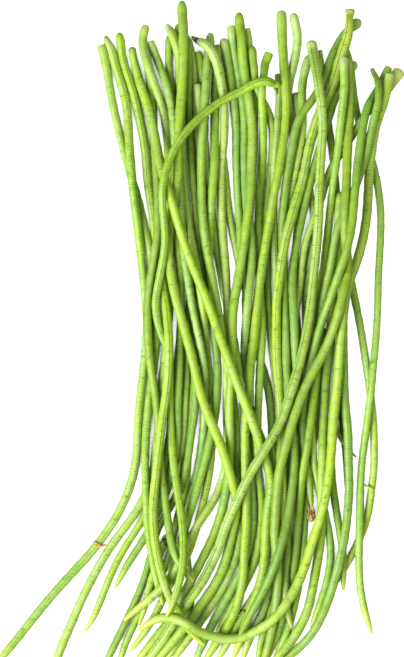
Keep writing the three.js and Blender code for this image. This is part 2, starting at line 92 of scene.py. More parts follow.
def readValue(tree, name):
    # a number that the mesh holds at each point
    node = tree.nodes.new("ShaderNodeAttribute")
    node.attribute_name = name
    return node.outputs["Fac"]


def noiseOn(tree, scale, detail):
    place = tree.nodes.new("ShaderNodeTexCoord").outputs["Object"]
    node = tree.nodes.new("ShaderNodeTexNoise")
    node.inputs["Scale"].default_value = scale
    node.inputs["Detail"].default_value = detail
    tree.links.new(place, node.inputs["Vector"])
    return node.outputs["Fac"]


# camera, light and floor

studio = {
    "aim": (0.00490, 0.01172, 0.007),      # the middle of the view, in metres
    "viewHeight": 0.56125,                 # how much ground the picture's long side takes in
    "lens": 200.0, "sensor": 36.0, "clipEnd": 20.0,
    "keyPlace": (-1.45, -1.10, 1.75), "keySize": 1.7, "keyPower": 144.0, "keyColour": (1.0, 1.0, 1.0),
    "fillPlace": (1.6, 0.6, 1.6), "fillSize": 1.6, "fillPower": 20.0, "fillColour": (0.95, 1.0, 0.4),
    "skyStrength": 0.64, "skyColour": (0.95, 1.0, 0.72),
    "skyRise": 0.30,                       # height over the horizon at which the sky is at full strength
    "skyLean": (-0.75, -0.60, 0.25), "skyDim": 0.18, "skyBright": 1.5,  # brighter towards the lower left
    "floorSize": 6.0, "floorColour": (0.30, 0.31, 0.30), "floorRoughness": 0.9,
    "floorGlow": 1.0, "glowColour": (1.0, 1.0, 1.0),
    # painted shade on the paper: its glow falls where pods shut in the air over it
    "gapReach": 0.016, "gapDark": 0.13, "gapClear": 0.19,  # how the paper darkens where pods shut it in
}


def makeCamera():
    # straight above the aim, where view height over distance equals sensor over lens
    scene = bpy.context.scene
    data = bpy.data.cameras.new("camera")
    data.lens, data.sensor_fit, data.sensor_height = studio["lens"], "VERTICAL", studio["sensor"]
    data.clip_end = studio["clipEnd"]
    camera = bpy.data.objects.new("camera", data)
    scene.collection.objects.link(camera)
    distance = studio["viewHeight"] * studio["lens"] / studio["sensor"]
    x, y, z = studio["aim"]
    camera.location = (x, y, z + distance)
    scene.camera = camera


def areaLight(name):
    # a round lamp that faces the aim
    place = studio[name + "Place"]
    data = bpy.data.lights.new(name + "Light", "AREA")
    data.shape, data.size = "DISK", studio[name + "Size"]
    data.energy, data.color = studio[name + "Power"], studio[name + "Colour"]
    light = bpy.data.objects.new(name + "Light", data)
    bpy.context.scene.collection.objects.link(light)
    light.location = place
    aim = np.array(studio["aim"]) - np.array(place)
    tilt, heading = math.acos(-aim[2] / np.linalg.norm(aim)), math.atan2(aim[1], aim[0])
    light.rotation_euler = (tilt, 0.0, heading - math.pi / 2)


def makeSky():
    # brightness = a rise from nothing at the horizon * a share that grows towards skyLean
    world = bpy.data.worlds.new("sky")
    world.use_nodes = True
    tree = world.node_tree
    background = tree.nodes["Background"]
    feed(tree, studio["skyColour"], background.inputs["Color"])
    direction = tree.nodes.new("ShaderNodeTexCoord").outputs["Generated"]
    axes = tree.nodes.new("ShaderNodeSeparateXYZ")
    tree.links.new(direction, axes.inputs[0])
    rise = remap(tree, axes.outputs["Z"], (0.0, studio["skyRise"], 0.0, studio["skyStrength"]), "LINEAR")
    lean = tree.nodes.new("ShaderNodeVectorMath")
    lean.operation = "DOT_PRODUCT"
    lean.inputs[1].default_value = studio["skyLean"]
    tree.links.new(direction, lean.inputs[0])
    share = remap(tree, lean.outputs["Value"], (-1.0, 1.0, studio["skyDim"], studio["skyBright"]), "LINEAR")
    tree.links.new(numberMath(tree, "MULTIPLY", rise, share), background.inputs["Strength"])
    bpy.context.scene.world = world


def makeFloor():
    # paper that glows evenly, with painted shade where the air over it is shut in: glow rises with the open
    # share of the air
    half = studio["floorSize"] / 2
    corners = [(-half, -half, 0), (half, -half, 0), (half, half, 0), (-half, half, 0)]
    mesh = bpy.data.meshes.new("floor")
    mesh.from_pydata(corners, [], [(0, 1, 2, 3)])
    floor = bpy.data.objects.new("floor", mesh)
    bpy.context.scene.collection.objects.link(floor)
    material, tree, shader = newMaterial("floorPaper")
    feed(tree, studio["floorColour"], shader.inputs["Base Color"])
    feed(tree, studio["floorRoughness"], shader.inputs["Roughness"])
    feed(tree, studio["glowColour"], shader.inputs["Emission Color"])
    openAir = tree.nodes.new("ShaderNodeAmbientOcclusion")
    openAir.inputs["Distance"].default_value = studio["gapReach"]
    limits = (studio["gapDark"], studio["gapClear"], 0.0, studio["floorGlow"])
    glow = remap(tree, openAir.outputs["AO"], limits, "LINEAR")
    tree.links.new(glow, shader.inputs["Emission Strength"])
    mesh.materials.append(material)
    floor.visible_glossy = False  # the paper lights the pods, and shows in no sheen


def makeStudio():
    bpy.context.scene.view_settings.view_transform = "Standard"
    makeCamera()
    areaLight("key")
    areaLight("fill")
    makeSky()
    makeFloor()
    print("studio ready")


# routes: read out of a solid, and made smooth

routeForm = {
    "decimals": 6,                          # a solid's corners that agree to a micrometre are one point
    "sweeps": 4,                            # walks from end to end before a pole is surely found
    "samples": 6000,                        # points on a curve before it is cut into even steps
    "firstRings": (0.08, 0.2, 0.4, 0.68),   # rings in the first step, where the stem end rounds off
    "nextRing": 1.45,                       # and one in the second
}


def walkRings(joined, start):
    # each ring holds the neighbours of the ring before it that haven't been met yet
    rings, seen = [np.array([start])], np.zeros(len(joined), bool)
    seen[start] = True
    while True:
        ahead = joined[rings[-1]].any(0) & ~seen
        if not ahead.any():
            return rings
        seen |= ahead
        rings.append(np.flatnonzero(ahead))


def podRoute(node):
    # the solid is walked ring by ring from pole to pole; a ring's centre is its corners' mean
    mesh = node.data
    corner = np.empty(len(mesh.loops), np.int64)
    mesh.loops.foreach_get("vertex_index", corner)
    place = np.empty(len(mesh.vertices) * 3)
    mesh.vertices.foreach_get("co", place)
    rounded = np.round(place.reshape(-1, 3), routeForm["decimals"])
    points, same = np.unique(rounded, axis=0, return_inverse=True)
    tri = same.ravel()[corner].reshape(-1, 3)
    joined = np.zeros((len(points), len(points)), bool)
    for a, b in ((0, 1), (1, 2), (2, 0)):
        joined[tri[:, a], tri[:, b]] = True
        joined[tri[:, b], tri[:, a]] = True
    pole = 0
    for sweep in range(routeForm["sweeps"]):  # the point farthest from a pole is the other pole
        pole = walkRings(joined, pole)[-1][0]
    rings = walkRings(joined, pole)
    centres = np.array([points[r].mean(0) for r in rings])
    radii = np.array([np.linalg.norm(points[r] - points[r].mean(0), axis=1).mean() for r in rings])
    if radii[1] < radii[-2]:  # the blunt end is the stem end
        centres, radii = centres[::-1], radii[::-1]
    return centres[1:], radii[1:]  # the stem end's pole lies in the middle of its first ring


def smoothRoute(points, step):
    # natural cubic spline over chord length t: on a span of length h the curve is
    # a*p0 + b*p1 + ((a^3-a)*m0 + (b^3-b)*m1)*h^2/6, with a = (t1-t)/h, b = 1-a and m the second derivatives,
    # then it is sampled again at even steps of arc length, with a few rings more at its start
    t = np.concatenate([[0.0], np.cumsum(np.linalg.norm(np.diff(points, axis=0), axis=1))])
    h, count = np.diff(t), len(t)
    system, load = np.eye(count), np.zeros((count, 3))
    row = np.arange(1, count - 1)
    system[row, row - 1], system[row, row], system[row, row + 1] = h[:-1], 2 * (h[:-1] + h[1:]), h[1:]
    load[1:-1] = 6 * np.diff(np.diff(points, axis=0) / h[:, None], axis=0)
    m = np.linalg.solve(system, load)
    fine = np.linspace(0, t[-1], routeForm["samples"])
    k = np.clip(np.searchsorted(t, fine, side="right") - 1, 0, count - 2)
    a = ((t[k + 1] - fine) / h[k])[:, None]
    b, w = 1 - a, (h[k] ** 2)[:, None] / 6
    curve = a * points[k] + b * points[k + 1] + ((a ** 3 - a) * m[k] + (b ** 3 - b) * m[k + 1]) * w
    arc = np.concatenate([[0.0], np.cumsum(np.linalg.norm(np.diff(curve, axis=0), axis=1))])
    s = np.linspace(0, arc[-1], int(round(arc[-1] / step)) + 1)
    first, after = step * np.array(routeForm["firstRings"]), step * np.array([routeForm["nextRing"]])
    s = np.concatenate([s[:1], first, s[1:2], after, s[2:]])
    return s, np.column_stack([np.interp(s, arc, curve[:, i]) for i in range(3)])


# fields along and round a tube

def ease(x):
    # 0 below 0, 1 above 1, 3x^2 - 2x^3 between
    x = np.clip(x, 0, 1)
    return x * x * (3 - 2 * x)


def fade(s, kind):
    # kind is (count, run): 1 near the stem end, eased to 0 as s goes from count - 1 runs to count runs
    count, run = kind
    return ease(count - s / run)


def streaks(rng, s, turn, cell, around):
    # smooth random field on (distance along, turn around): random values on a lattice with one value
    # every `cell` metres and `around` values per turn, blended with an eased weight; it closes round
    rows = int(s.max() / cell) + 3
    lattice = rng.uniform(-1, 1, (rows, around))
    u = (s / cell)[:, None] + 0 * turn[None, :]
    v = (turn / fullTurn * around)[None, :] + 0 * s[:, None]
    i, j = np.floor(u).astype(int), np.floor(v).astype(int)
    fu, fv = ease(u - i), ease(v - j)
    at = lambda p, q: lattice[np.clip(p, 0, rows - 1), q % around]
    near = at(i, j) * (1 - fv) + at(i, j + 1) * fv
    far = at(i + 1, j) * (1 - fv) + at(i + 1, j + 1) * fv
    return near * (1 - fu) + far * fu


def patches(rng, s, turn, kind):
    # streaks up to a given size; kind is (size, metres along, values per turn)
    size, cell, around = kind
    return size * streaks(rng, s, turn, cell, around)


def drift(rng, s, cell):
    # smooth random line: random values every `cell` metres, eased between
    lattice = rng.uniform(-1, 1, int(s.max() / cell) + 3)
    i = np.floor(s / cell).astype(int)
    f = ease(s / cell - i)
    return lattice[i] * (1 - f) + lattice[i + 1] * f


def waves(rng, s, kind):
    # a drift up to a given size; kind is (size, metres along)
    size, cell = kind
    return size * drift(rng, s, cell)


# tubes

def axesAlong(line):
    # unit directions at each ring: along the line, level to its left, and upwards across both
    along = np.gradient(line, axis=0)
    along /= np.linalg.norm(along, axis=1)[:, None]
    side = np.cross(up, along)
    side /= np.linalg.norm(side, axis=1)[:, None]
    return along, side, np.cross(along, side)


def ringsRound(line, side, over, radius, turn, squeeze=1.0):
    # point = centre + side * radius * cos(turn) + over * radius * squeeze * sin(turn)
    across = side[:, None] * (radius * np.cos(turn))[..., None]
    return line[:, None] + across + over[:, None] * (radius * squeeze * np.sin(turn))[..., None]


def tubeMesh(name, grid, first, last):
    # grid is rings x columns x 3; each ring closes on itself, and each end closes on a pole
    rings, columns = grid.shape[:2]
    points = np.concatenate([grid.reshape(-1, 3), [first, last]])
    k, j = np.meshgrid(np.arange(rings - 1), np.arange(columns), indexing="ij")
    n = (j + 1) % columns
    quads = np.stack([k * columns + j, k * columns + n, (k + 1) * columns + n, (k + 1) * columns + j], -1)
    quads = quads.reshape(-1, 4)
    c, d = np.arange(columns), (np.arange(columns) + 1) % columns
    pole, base = rings * columns, (rings - 1) * columns
    firstFan = np.stack([0 * c + pole, d, c], -1)
    lastFan = np.stack([0 * c + pole + 1, base + c, base + d], -1)
    fans = np.concatenate([firstFan, lastFan])
    loops = np.concatenate([quads.ravel(), fans.ravel()]).astype(np.int32)
    starts = np.concatenate([np.arange(len(quads)) * 4, len(quads) * 4 + np.arange(len(fans)) * 3])
    mesh = bpy.data.meshes.new(name)
    mesh.vertices.add(len(points))
    mesh.vertices.foreach_set("co", points.astype(np.float32).ravel())
    mesh.loops.add(len(loops))
    mesh.loops.foreach_set("vertex_index", loops)
    mesh.polygons.add(len(starts))
    mesh.polygons.foreach_set("loop_start", starts.astype(np.int32))
    mesh.polygons.foreach_set("use_smooth", np.ones(len(starts), bool))
    mesh.update(calc_edges=True)
    return mesh


def addValues(mesh, name, values, first, last):
    # one number per point, rings first, then the two poles
    layer = mesh.attributes.new(name, "FLOAT", "POINT")
    layer.data.foreach_set("value", np.concatenate([values.ravel(), [first, last]]).astype(np.float32))


def newPiece(name, mesh, material):
    mesh.materials.append(material)
    piece = bpy.data.objects.new(name, mesh)
    bpy.context.scene.collection.objects.link(piece)
    return piece


# skin of a pod

podSkin = {
    "green": (0.150, 0.310, 0.010), "yellow": (0.280, 0.405, 0.006), "pale": (0.330, 0.430, 0.150),
    # shade is the colour of painted shade on pods that lie in shade and on stem-end domes; crease is the
    # colour of painted shade in the creases, and the seam lines are drawn in it too
    "cool": (0.115, 0.270, 0.055), "shade": (0.040, 0.095, 0.010), "crease": (0.045, 0.135, 0.002),
    "tip": (0.400, 0.450, 0.045), "dry": (0.050, 0.020, 0.016), "tan": (0.430, 0.290, 0.160),
    "seamBrown": (0.110, 0.060, 0.012),
    "roughness": 0.54, "specular": 0.62,
    "mottleScale": 150.0, "mottleDetail": 3.0, "grainScale": 1300.0, "grainDetail": 2.0,
    "yellowMottle": (0.35, 0.7, -0.3, 0.4),  # noise from, noise to, value from, value to
    "paleMottle": (0.3, 0.65, 0.16, -0.16), "creaseGrain": (0.25, 0.7, 0.62, 1.0),
    "seamLine": (0.04, 0.13, 1.0, 0.0),      # the same for the line along a seam, across |seam|
    "bump": 0.14, "creaseBump": 0.25, "bumpStrength": 0.5, "bumpDistance": 0.3 * mm,
}


def podMaterial(name):
    # colour = green moved towards yellow, cool, pale and tip by the pod's own values and towards painted
    # shade where the pod lies in shade or on the dome of its stem end, mottled by noise, then darkened with
    # painted shade in the creases and darkened along the two seams, where |seam| (the sine of the turn from
    # a seam) is small, and last moved towards dry, which runs from nearly black to tan
    material, tree, shader = newMaterial(name)
    look = podSkin
    mottle = noiseOn(tree, look["mottleScale"], look["mottleDetail"])
    grain = noiseOn(tree, look["grainScale"], look["grainDetail"])
    crease, seam = readValue(tree, "crease"), readValue(tree, "seam")
    yellowSpots = remap(tree, mottle, look["yellowMottle"])
    paleSpots = remap(tree, mottle, look["paleMottle"])
    yellow = numberMath(tree, "ADD", readValue(tree, "yellow"), yellowSpots, True)
    pale = numberMath(tree, "ADD", readValue(tree, "pale"), paleSpots, True)
    colour = colourMix(tree, yellow, look["green"], look["yellow"])
    colour = colourMix(tree, readValue(tree, "cool"), colour, look["cool"])
    colour = colourMix(tree, pale, colour, look["pale"])
    colour = colourMix(tree, readValue(tree, "tip"), colour, look["tip"])
    # painted shade: pods that lie in shade, and the domes of some stem ends, move towards the shade colour
    colour = colourMix(tree, readValue(tree, "dark"), colour, look["shade"])
    # painted shade in the creases: the crease value, broken up by grain, darkens the colour towards the
    # crease colour
    creaseShade = numberMath(tree, "MULTIPLY", crease, remap(tree, grain, look["creaseGrain"]), True)
    colour = colourMix(tree, creaseShade, colour, look["crease"])
    line = remap(tree, numberMath(tree, "ABSOLUTE", seam), look["seamLine"])
    line = numberMath(tree, "MULTIPLY", line, readValue(tree, "seamDepth"), True)
    seamColour = colourMix(tree, readValue(tree, "brownSeam"), look["crease"], look["seamBrown"])
    colour = colourMix(tree, line, colour, seamColour)
    dryColour = colourMix(tree, readValue(tree, "tone"), look["dry"], look["tan"])
    colour = colourMix(tree, readValue(tree, "dry"), colour, dryColour)
    tree.links.new(colour, shader.inputs["Base Color"])
    feed(tree, look["roughness"], shader.inputs["Roughness"])
    feed(tree, look["specular"], shader.inputs["Specular IOR Level"])
    bumps = numberMath(tree, "MULTIPLY", grain, look["bump"])
    dips = numberMath(tree, "MULTIPLY", crease, look["creaseBump"])
    bump = tree.nodes.new("ShaderNodeBump")
    feed(tree, look["bumpStrength"], bump.inputs["Strength"])
    feed(tree, look["bumpDistance"], bump.inputs["Distance"])
    tree.links.new(numberMath(tree, "SUBTRACT", bumps, dips), bump.inputs["Height"])
    tree.links.new(bump.outputs["Normal"], shader.inputs["Normal"])
    return material


# shape of a pod

# a fade is (count, run), a wave (size, metres along) and a patch (size, metres along, values per turn)
podForm = {
    "seed": 500,                             # a pod's own random seed is this plus its number
    "step": 0.75 * mm,                       # between rings
    "columns": (0, 9, 32, 61, 90, 119, 148, 171),  # degrees from each of the two seams
    "swell": 1.05,                           # skin over the solid's corners
    "reach": 2.8,                            # mm past the solid's stem end
    "poleOut": (0.2 * mm, 0.3 * mm),         # how far the poles stand out, at the stem end and at the tip
    "end": "bullet", "stem": 1.02, "stemFade": (1.4, 60 * mm),  # a little thicker behind the stem end
    "tipRun": 36 * mm, "tipWidth": 0.30, "tipSharp": 2.2, "tipFull": 0.78,
    "tipRound": 1.6 * mm, "tipLeast": 0.02,
    "seedPitch": 12.5 * mm, "seedLump": 0.026, "seedWave": (3.0, 60 * mm),
    "waver": (0.045, 34 * mm), "oval": 0.025,
    "meander": (0.35 * mm, 26 * mm), "meanderFrom": 15 * mm,
    "evenStem": 10 * mm, "evenTip": 25 * mm,  # lumps and furrows die away here
    "seamDepth": 0.16 * mm, "seamSpread": 0.16, "seamLeast": 0.3,
    "usualSeam": (0.1, 0.6), "facingSeam": 0.95,  # how deep a seam is, and one whose place is given
    "twist": 0.5, "twistRun": 160 * mm,      # radians of seam wander
    "splitDepth": 1.3 * mm, "splitSpread": 0.45, "splitFade": (1.2, 6 * mm),
    "flatFade": (1.6, 12 * mm),
    "liftReach": 15,                         # rings
}

podCrease = {
    "pitch": 2.15 * mm, "depth": 0.045 * mm, "gain": 1.25, "sharp": 2.2,
    "phasePatch": (2.6, 6 * mm, 5), "phaseWave": (2.0, 9 * mm),
    "share": 0.42, "broad": 0.10, "broadPatch": (1.3, 16 * mm, 4),
    "fine": 0.6, "finePatch": (0.4, 2.2 * mm, 5),
    "lanePlace": (0.3, 1.5), "laneWave": (0.5, 90 * mm), "laneWidth": 0.22,
    "lane": 0.75, "lanePatch": (0.6, 4 * mm, 6),
    "tickPatch": (1.0, 1.2 * mm, 9), "tickLeast": 0.48, "tickGain": 2.0,
    "from": 6 * mm, "rise": 26 * mm,         # the ends stay smooth
}

# widths at the stem end: (distance from the end in mm, share of the pod's own radius)
stemEnds = {
    "bullet": ((0, 0.22), (0.4, 0.42), (1.2, 0.60), (2.6, 0.79), (4.5, 0.92), (7.5, 1.02), (13, 1.0),
               (24, 0.97), (40, 1.0)),
    "round": ((0, 0.14), (0.1, 0.30), (0.35, 0.50), (0.8, 0.68), (1.6, 0.86), (2.6, 0.97), (5, 1.06),
              (12, 1.04), (24, 0.98), (40, 1.0)),
    "cut": ((0, 0.88), (0.3, 0.98), (1.2, 1.02), (8, 1.0), (20, 0.96), (40, 1.0)),
    "wideCut": ((0, 0.92), (0.3, 1.05), (2, 1.12), (9, 1.10), (22, 1.0), (40, 0.98)),
    "narrowCut": ((0, 0.74), (0.4, 0.90), (5, 0.94), (15, 0.96), (40, 1.0)),
    "club": ((0, 0.55), (0.2, 0.74), (0.6, 0.90), (1.6, 1.05), (6, 1.16), (14, 1.14), (32, 1.06), (70, 1.0)),
    "spike": ((0, 0.10), (1.0, 0.34), (3, 0.52), (6, 0.70), (9, 0.90), (13, 1.10), (24, 1.19), (45, 1.15),
              (80, 1.06), (120, 1.0)),
    "blunt": ((0, 0.25), (0.5, 0.44), (2, 0.60), (5, 0.80), (10, 0.98), (18, 1.03), (35, 1.0)),
    "knob": ((0, 0.30), (0.4, 0.56), (1.5, 0.78), (4, 0.80), (9, 0.76), (17, 0.84), (35, 1.0)),
    "hook": ((0, 0.46), (0.4, 0.72), (1.2, 0.86), (5, 0.98), (11, 1.02), (24, 0.98), (40, 1.0)),
    "paddle": ((0, 0.15), (0.4, 0.40), (1.4, 0.74), (3, 1.02), (5, 1.12), (9, 0.98), (14, 0.84), (24, 0.84),
               (45, 1.0)),
    "spoon": ((0, 0.35), (0.3, 0.75), (1, 1.15), (2.5, 1.50), (5, 1.62), (9, 1.45), (15, 1.10), (24, 0.85),
              (45, 0.95)),
    "thin": ((0, 0.34), (0.5, 0.50), (4, 0.58), (12, 0.74), (25, 0.90), (45, 1.0)),
    "notched": ((0, 0.80), (0.4, 1.02), (3, 1.00), (7, 0.84), (12, 0.82), (20, 0.94), (32, 1.08), (50, 1.18),
                (90, 1.14), (140, 1.0)),
    "bent": ((0, 0.50), (0.6, 0.72), (2.5, 0.84), (6, 1.0), (10, 1.12), (16, 1.14), (35, 1.04), (60, 1.0)),
}

# what sets single pods apart:
# yellow, pale and cool tint the skin, dark paints shade over a pod that lies in shade, gold and paleEnd tint
# the stem end, and brownSeam its seams;
# end names the stem end's profile, stem is how thick it is, and reach (mm) how far it stands past the solid;
# flat is how far it is pressed flat, split how deep it is notched, and the cap marks paint shade over the
# stem end's dome, how dark and over how many mm;
# seam is where a seam faces (radians, 1.57 is straight up); dry browns the first dryRun mm, in a tone from
# 0 nearly black to 1 tan, and papery makes the dried part's outer half paler and its inner half darker
podMarks = {
    1: dict(pale=0.3, yellow=0.75, end="wideCut", paleEnd=0.2),
    2: dict(dry=0.75, dryRun=3.0, tone=0.75, yellow=0.55, pale=0.4, end="blunt", paleEnd=0.4, reach=4.0),
    3: dict(yellow=0.85, seam=1.3, dark=0.04),
    4: dict(yellow=0.8, dark=0.1, end="knob", capShade=0.5, capShadeRun=5.0),
    5: dict(yellow=0.6, pale=0.6, cool=0.1, end="hook"),
    6: dict(dark=0.3),
    7: dict(cool=0.4, pale=0.5, end="cut", paleEnd=0.4),
    8: dict(dark=0.15, dry=0.5, dryRun=1.0, tone=0.5),
    9: dict(yellow=0.7, pale=0.55, dry=0.7, dryRun=1.4, tone=0.8, end="blunt", paleEnd=0.7, stem=1.2),
    10: dict(yellow=0.95, pale=0.05, dark=0.11),
    11: dict(dark=0.35),
    12: dict(dark=0.03, pale=0.5),
    13: dict(dark=0.2, pale=0.25, end="cut"),
    14: dict(cool=0.3, yellow=0.5, pale=0.35),
    15: dict(end="cut", cool=0.3, pale=0.7, paleEnd=0.5),
    16: dict(yellow=0.95, pale=0.8, dry=1.0, dryRun=9.0, end="spike", paleEnd=0.8, reach=3.4,
             papery=1.0),
    17: dict(dark=0.15, end="round", paleEnd=0.4),
    18: dict(cool=0.5, pale=0.35, end="round", paleEnd=0.8, stem=1.14),
    19: dict(end="cut", dry=0.6, dryRun=0.9, tone=0.8, pale=0.4, cool=0.8, paleEnd=0.6),
    20: dict(pale=0.1, yellow=0.6, dark=0.12),
    21: dict(yellow=0.6, pale=0.35, dark=0.05),
    22: dict(pale=0.85, end="cut"),
    23: dict(dark=0.25, end="round"),
    24: dict(pale=0.2, end="cut"),
    25: dict(seam=1.75, yellow=0.75, end="bent", paleEnd=-0.1),
    26: dict(yellow=0.95, pale=0.1, dark=0.11, end="club", paleEnd=0.6),
    27: dict(pale=1.0, end="round", paleEnd=0.9, reach=3.2, stem=1.10),
    28: dict(seam=1.4, pale=1.0, cool=0.2, end="cut"),
    29: dict(stem=1.16, pale=0.45),
    30: dict(pale=0.9, end="cut", capShade=0.5, capShadeRun=14, dry=0.6, dryRun=1.6, tone=0.1),
    31: dict(pale=0.7, yellow=0.6, seam=5.0, end="round", paleEnd=0.6, stem=1.16),
    32: dict(pale=0.35, dry=0.7, dryRun=3.0, tone=0.6, end="thin"),
    33: dict(stem=1.12, pale=0.15, dark=0.33, cool=0.3, end="paddle", paleEnd=1.0, flat=0.4),
    34: dict(pale=0.3, yellow=0.8, seam=2.0, dry=0.75, dryRun=2.4, tone=0.5, gold=0.6,
             end="notched", brownSeam=1.0, split=1.0),
    35: dict(yellow=0.4, dark=0.3, cool=0.25, end="paddle", paleEnd=1.0, flat=0.4),
    36: dict(end="cut", pale=0.25, paleEnd=0.7, stem=1.14),
    37: dict(pale=0.1, yellow=0.8, dark=0.38, end="cut"),
    38: dict(yellow=0.5, pale=0.3),
    39: dict(pale=0.75, end="spoon", paleEnd=1.3, gold=0.15, dry=0.10, dryRun=6.0, tone=1.0,
             reach=2.4, flat=0.55),
    40: dict(pale=0.1, yellow=0.3, dark=0.24, end="narrowCut", dry=0.5, dryRun=2.5, tone=0.8, flat=0.3),
    41: dict(dark=0.22, yellow=0.5, end="thin", paleEnd=-0.3),
    42: dict(pale=0.3, yellow=1.0, end="narrowCut", paleEnd=0.8, gold=0.3),
    43: dict(pale=0.3),
    44: dict(pale=0.2, cool=0.3, dark=0.13),
    45: dict(dark=0.2),
    46: dict(dark=1.0),
    47: dict(dark=0.12),
    48: dict(dark=0.3, stem=1.15),
    49: dict(pale=0.7),
    50: dict(pale=0.35, yellow=0.4),
}

# how each tint runs: usual is the range for a pod without a mark of its own, and scale weighs the mark
podTints = {
    "yellow": dict(usual=(0.25, 0.6), wave=(0.35, 70 * mm), patch=(0.25, 8 * mm, 4)),
    "pale": dict(scale=0.7, usual=(0.05, 0.25), wave=(0.16, 60 * mm), patch=(0.22, 12 * mm, 5)),
    "cool": dict(scale=1.0, usual=(0.0, 0.25), wave=(0.2, 80 * mm), patch=(0.15, 30 * mm, 3)),
    "tip": dict(usual=(0.45, 0.8), run=30 * mm),
}

podEnds = {
    "goldFade": (1.15, 22 * mm), "paleFade": (1.15, 16 * mm), "brownFade": (2.4, 45 * mm),
    # painted shade over the stem end's dome: how dark, over how many mm, and on which end profiles by
    # default
    "capShade": 0.35, "capShadeRun": 1.6, "capShadedEnds": ("bullet", "hook"),
    "dryRun": 1.5, "dryEdge": 0.9 * mm, "ragged": (0.8 * mm, 4 * mm, 5),  # the brown ends on a ragged line
    "dryTip": 0.75, "dryTipRun": 2.2 * mm,
    "tone": 0.45, "tonePatch": (0.3, 1.5 * mm, 6),
    "paperTone": 0.5, "paperAt": 5.5 * mm, "paperRun": 2 * mm,
    "rimTone": 0.45, "rimAt": 5 * mm, "rimRun": 1.5 * mm,
}

# values at a tube's two poles, (stem end, tip)
podPoles = {
    "yellow": (0.3, 0.8), "pale": (0.7, 0.2), "cool": (0.1, 0.0), "dark": (0.0, 0.0), "tone": (0.4, 0.4),
    "brownSeam": (0.0, 0.0), "tip": (0.0, 0.6), "dry": (0.25, 0.9), "crease": (0.0, 0.0), "seam": (1.0, 1.0),
    "seamDepth": (0.0, 0.0),
}


def podLine(rng, node, marks):
    # the solid's centre line from a little past its stem end on, smooth and with a slight wander to the side
    form = podForm
    centres, radii = podRoute(node)
    out = centres[0] - centres[1]
    stemEnd = centres[0] + out / np.linalg.norm(out) * marks.get("reach", form["reach"]) * mm
    s, line = smoothRoute(np.concatenate([[stemEnd], centres[1:]]), form["step"])
    level = np.diff(line[:, :2], axis=0, append=line[-1:, :2])
    level[-1] = level[-2]
    level /= np.linalg.norm(level, axis=1)[:, None]
    bend = waves(rng, s, form["meander"]) * ease(s / form["meanderFrom"])
    return s, line + np.column_stack([-level[:, 1] * bend, level[:, 0] * bend, 0 * bend]), radii.max()


def podWidth(s, marks):
    # width = the stem end's profile * a long taper to the tip * a dome on the tip * a thicker stem end, with
    # taper = tipWidth + (1 - tipWidth) * (1 - (1 - t)^tipSharp)^tipFull and dome = sqrt(1 - (1 - t)^2),
    # where t is the distance from the tip over tipRun and over tipRound
    form, fromTip = podForm, s[-1] - s
    far, share = np.array(stemEnds[marks.get("end", form["end"])], float).T
    t = np.clip(fromTip / form["tipRun"], 0, 1)
    taper = form["tipWidth"] + (1 - form["tipWidth"]) * (1 - (1 - t) ** form["tipSharp"]) ** form["tipFull"]
    dome = np.sqrt(np.clip(1 - (1 - np.clip(fromTip / form["tipRound"], 0, 1)) ** 2, form["tipLeast"], 1))
    stem = marks.get("stem", form["stem"])
    return np.interp(s / mm, far, share) * taper * dome * (1 + (stem - 1) * fade(s, form["stemFade"]))


def podCreases(rng, s, fromSeam, turn):
    # crease = gain * sin(phase)^sharp * mask + ticks: creases run round the pod at a steady pitch, broken up
    # by a wavering phase and a patchy mask, and a lane down the pod's upper flank is creased all along
    look = podCrease
    phase = fullTurn * s[:, None] / look["pitch"] + patches(rng, s, fromSeam, look["phasePatch"])
    phase = phase + waves(rng, s, look["phaseWave"])[:, None]
    mask = look["share"] * ease(look["broad"] + patches(rng, s, fromSeam, look["broadPatch"]))
    mask = mask * (look["fine"] + patches(rng, s, fromSeam, look["finePatch"]))
    offLane = turn - rng.uniform(*look["lanePlace"]) - waves(rng, s, look["laneWave"])[:, None]
    lane = np.exp(-(np.sin(offLane / 2) / look["laneWidth"]) ** 2)
    mask = np.clip(mask + lane * (look["lane"] + patches(rng, s, fromSeam, look["lanePatch"])), 0, 1)
    ticks = np.clip(patches(rng, s, fromSeam, look["tickPatch"]) - look["tickLeast"], 0, 1)
    waved = look["gain"] * np.clip(np.sin(phase), 0, 1) ** look["sharp"] * mask
    creases = np.clip(waved + ticks * look["tickGain"], 0, 1)
    calm = ease((s - look["from"]) / look["rise"]) * ease((s[-1] - s) / podForm["evenTip"])
    return creases * calm[:, None]


def tint(rng, s, fromSeam, marks, name):
    # a pod's own share of a tint, drifting along it and patchy round it
    look = podTints[name]
    own = look["scale"] * marks.get(name, rng.uniform(*look["usual"]))
    return own + waves(rng, s, look["wave"])[:, None] + patches(rng, s, fromSeam, look["patch"])


